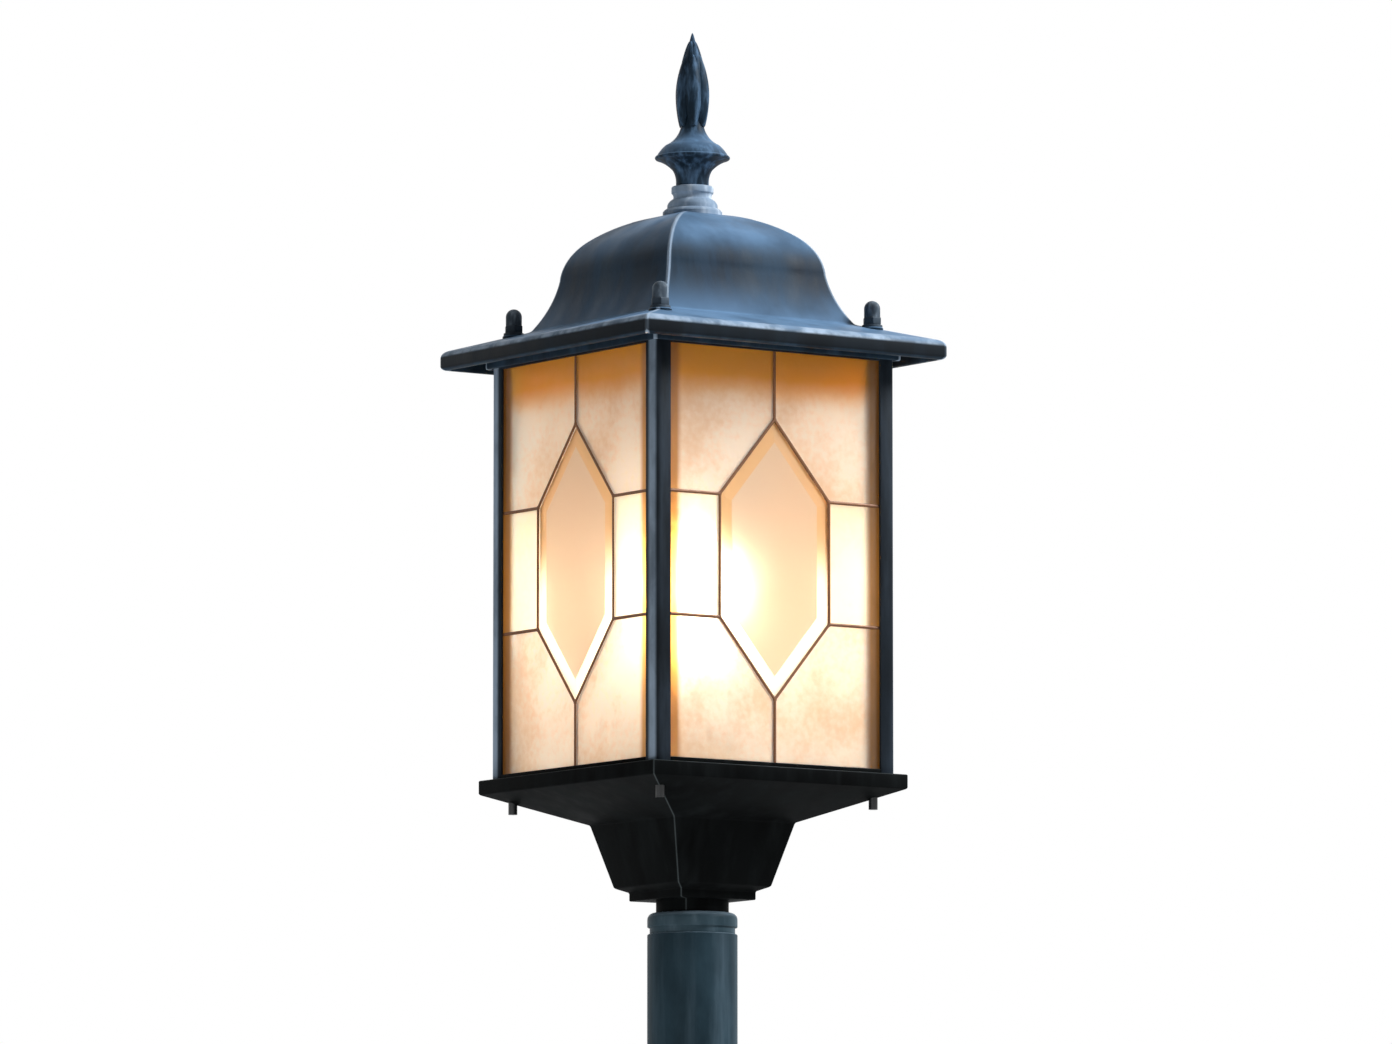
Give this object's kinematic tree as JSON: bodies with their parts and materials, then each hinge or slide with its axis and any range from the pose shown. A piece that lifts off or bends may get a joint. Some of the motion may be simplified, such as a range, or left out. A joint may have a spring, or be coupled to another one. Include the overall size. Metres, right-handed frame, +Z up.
{
  "type": "post top lantern",
  "caption": "Square post top lantern with a flared roof and leafed spire, a cage of amber leaded glass, and a screw-in lamp, on a round post end.",
  "frame": {"origin": "centre of the post sleeve's lower end", "axes": "+Z up the post to the spire; the glass faces look along X and Y, front is -Y and left is -X"},
  "size_m": [0.2436, 0.2436, 0.7393],
  "materials": {
    "post_paint": "satin paint, brushed upright",
    "base_casting": "satin black paint on a casting",
    "cage_casting": "satin black paint on a casting",
    "roof_casting": "black paint rubbed back to silver",
    "nut_finish": "dark paint rubbed back to silver",
    "amber_glass": "textured",
    "bevelled_glass": "bevelled, polished",
    "leading": "aged lead came",
    "steel": "zinc plated",
    "brass": "plain",
    "floor_paint": "white paint",
    "glazing_rubber": "matt",
    "porcelain": "glazed",
    "lamp_glass": "lit, frosted",
    "filament": "bright wire on a glass stem",
    "insulator": "moulded",
    "live_sleeve": "brown",
    "neutral_sleeve": "blue",
    "earth_sleeve": "green and yellow"
  },
  "bodies": {
    "post": {"post_sleeve": "post_paint", "post_collar": "post_paint", "grub_screws": "steel"},
    "lantern": {"base_bowl": "base_casting", "corner_post_front_left": "cage_casting", "corner_post_front_right": "cage_casting", "corner_post_back_right": "cage_casting", "corner_post_back_left": "cage_casting", "top_frame": "cage_casting", "glass_pane_front": "amber_glass", "glass_pane_right": "amber_glass", "glass_pane_back": "amber_glass", "glass_pane_left": "amber_glass", "bevel_glass_front": "bevelled_glass", "bevel_glass_right": "bevelled_glass", "bevel_glass_back": "bevelled_glass", "bevel_glass_left": "bevelled_glass", "lead_lines_front": "leading", "lead_lines_right": "leading", "lead_lines_back": "leading", "lead_lines_left": "leading", "tie_rods": "steel", "frame_nuts": "steel", "floor_screws": "steel", "bracket_screws": "steel", "holder_bracket": "steel", "block_screws": "steel", "terminal_screws": "brass", "earth_screw": "brass", "holder_contact": "brass", "holder_shell": "brass", "floor_plate": "floor_paint", "glazing_strips": "glazing_rubber", "neck_grommet": "glazing_rubber", "holder_body": "porcelain", "terminal_block": "insulator", "live_lead": "live_sleeve", "neutral_lead": "neutral_sleeve", "earth_lead": "earth_sleeve"},
    "roof": {"roof_shell": "roof_casting", "finial_collar": "roof_casting", "finial_spire": "roof_casting", "finial_washer": "steel", "finial_nut": "steel"},
    "lamp_stem": {"filament_stem": "filament"},
    "lamp": {"bulb_glass": "lamp_glass", "bulb_cap": "brass", "bulb_contact": "insulator"},
    "washer_front_left": {"cap_washer_front_left": "nut_finish"},
    "nut_front_left": {"cap_nut_front_left": "nut_finish"},
    "washer_front_right": {"cap_washer_front_right": "nut_finish"},
    "nut_front_right": {"cap_nut_front_right": "nut_finish"},
    "washer_back_right": {"cap_washer_back_right": "nut_finish"},
    "nut_back_right": {"cap_nut_back_right": "nut_finish"},
    "washer_back_left": {"cap_washer_back_left": "nut_finish"},
    "nut_back_left": {"cap_nut_back_left": "nut_finish"}
  },
  "joints": [
    {"name": "head_swivel", "type": "hinge", "parent": "post", "child": "lantern", "pos_m": [0, 0, 0.104], "axis": [0, 0, 1], "range_deg": [-180, 180]},
    {"name": "roof_lift", "type": "slide", "parent": "lantern", "child": "roof", "axis": [0, 0, 1], "range_m": [0, 0.06]},
    {"name": "lamp_rise", "type": "slide", "parent": "lantern", "child": "lamp_stem", "axis": [0, 0, 1], "range_m": [0, 0.02]},
    {"name": "lamp_turn", "type": "hinge", "parent": "lamp_stem", "child": "lamp", "pos_m": [0, 0, 0.2934], "axis": [0, 0, 1], "range_deg": [0, 1980]},
    {"name": "nut_rise_front_left", "type": "slide", "parent": "roof", "child": "washer_front_left", "axis": [0, 0, 1], "range_m": [0, 0.0121]},
    {"name": "nut_turn_front_left", "type": "hinge", "parent": "washer_front_left", "child": "nut_front_left", "pos_m": [-0.086, -0.086, 0.539], "axis": [0, 0, 1], "range_deg": [0, 4320]},
    {"name": "nut_rise_front_right", "type": "slide", "parent": "roof", "child": "washer_front_right", "axis": [0, 0, 1], "range_m": [0, 0.0121]},
    {"name": "nut_turn_front_right", "type": "hinge", "parent": "washer_front_right", "child": "nut_front_right", "pos_m": [0.086, -0.086, 0.539], "axis": [0, 0, 1], "range_deg": [0, 4320]},
    {"name": "nut_rise_back_right", "type": "slide", "parent": "roof", "child": "washer_back_right", "axis": [0, 0, 1], "range_m": [0, 0.0121]},
    {"name": "nut_turn_back_right", "type": "hinge", "parent": "washer_back_right", "child": "nut_back_right", "pos_m": [0.086, 0.086, 0.539], "axis": [0, 0, 1], "range_deg": [0, 4320]},
    {"name": "nut_rise_back_left", "type": "slide", "parent": "roof", "child": "washer_back_left", "axis": [0, 0, 1], "range_m": [0, 0.0121]},
    {"name": "nut_turn_back_left", "type": "hinge", "parent": "washer_back_left", "child": "nut_back_left", "pos_m": [-0.086, 0.086, 0.539], "axis": [0, 0, 1], "range_deg": [0, 4320]}
  ],
  "couplings": [
    {"joint": "lamp_rise", "follows": "lamp_turn", "m_per_rad": 0.00057757},
    {"joint": "nut_rise_front_left", "follows": "nut_turn_front_left", "m_per_rad": 0.00015915},
    {"joint": "nut_rise_front_right", "follows": "nut_turn_front_right", "m_per_rad": 0.00015915},
    {"joint": "nut_rise_back_right", "follows": "nut_turn_back_right", "m_per_rad": 0.00015915},
    {"joint": "nut_rise_back_left", "follows": "nut_turn_back_left", "m_per_rad": 0.00015915}
  ]
}
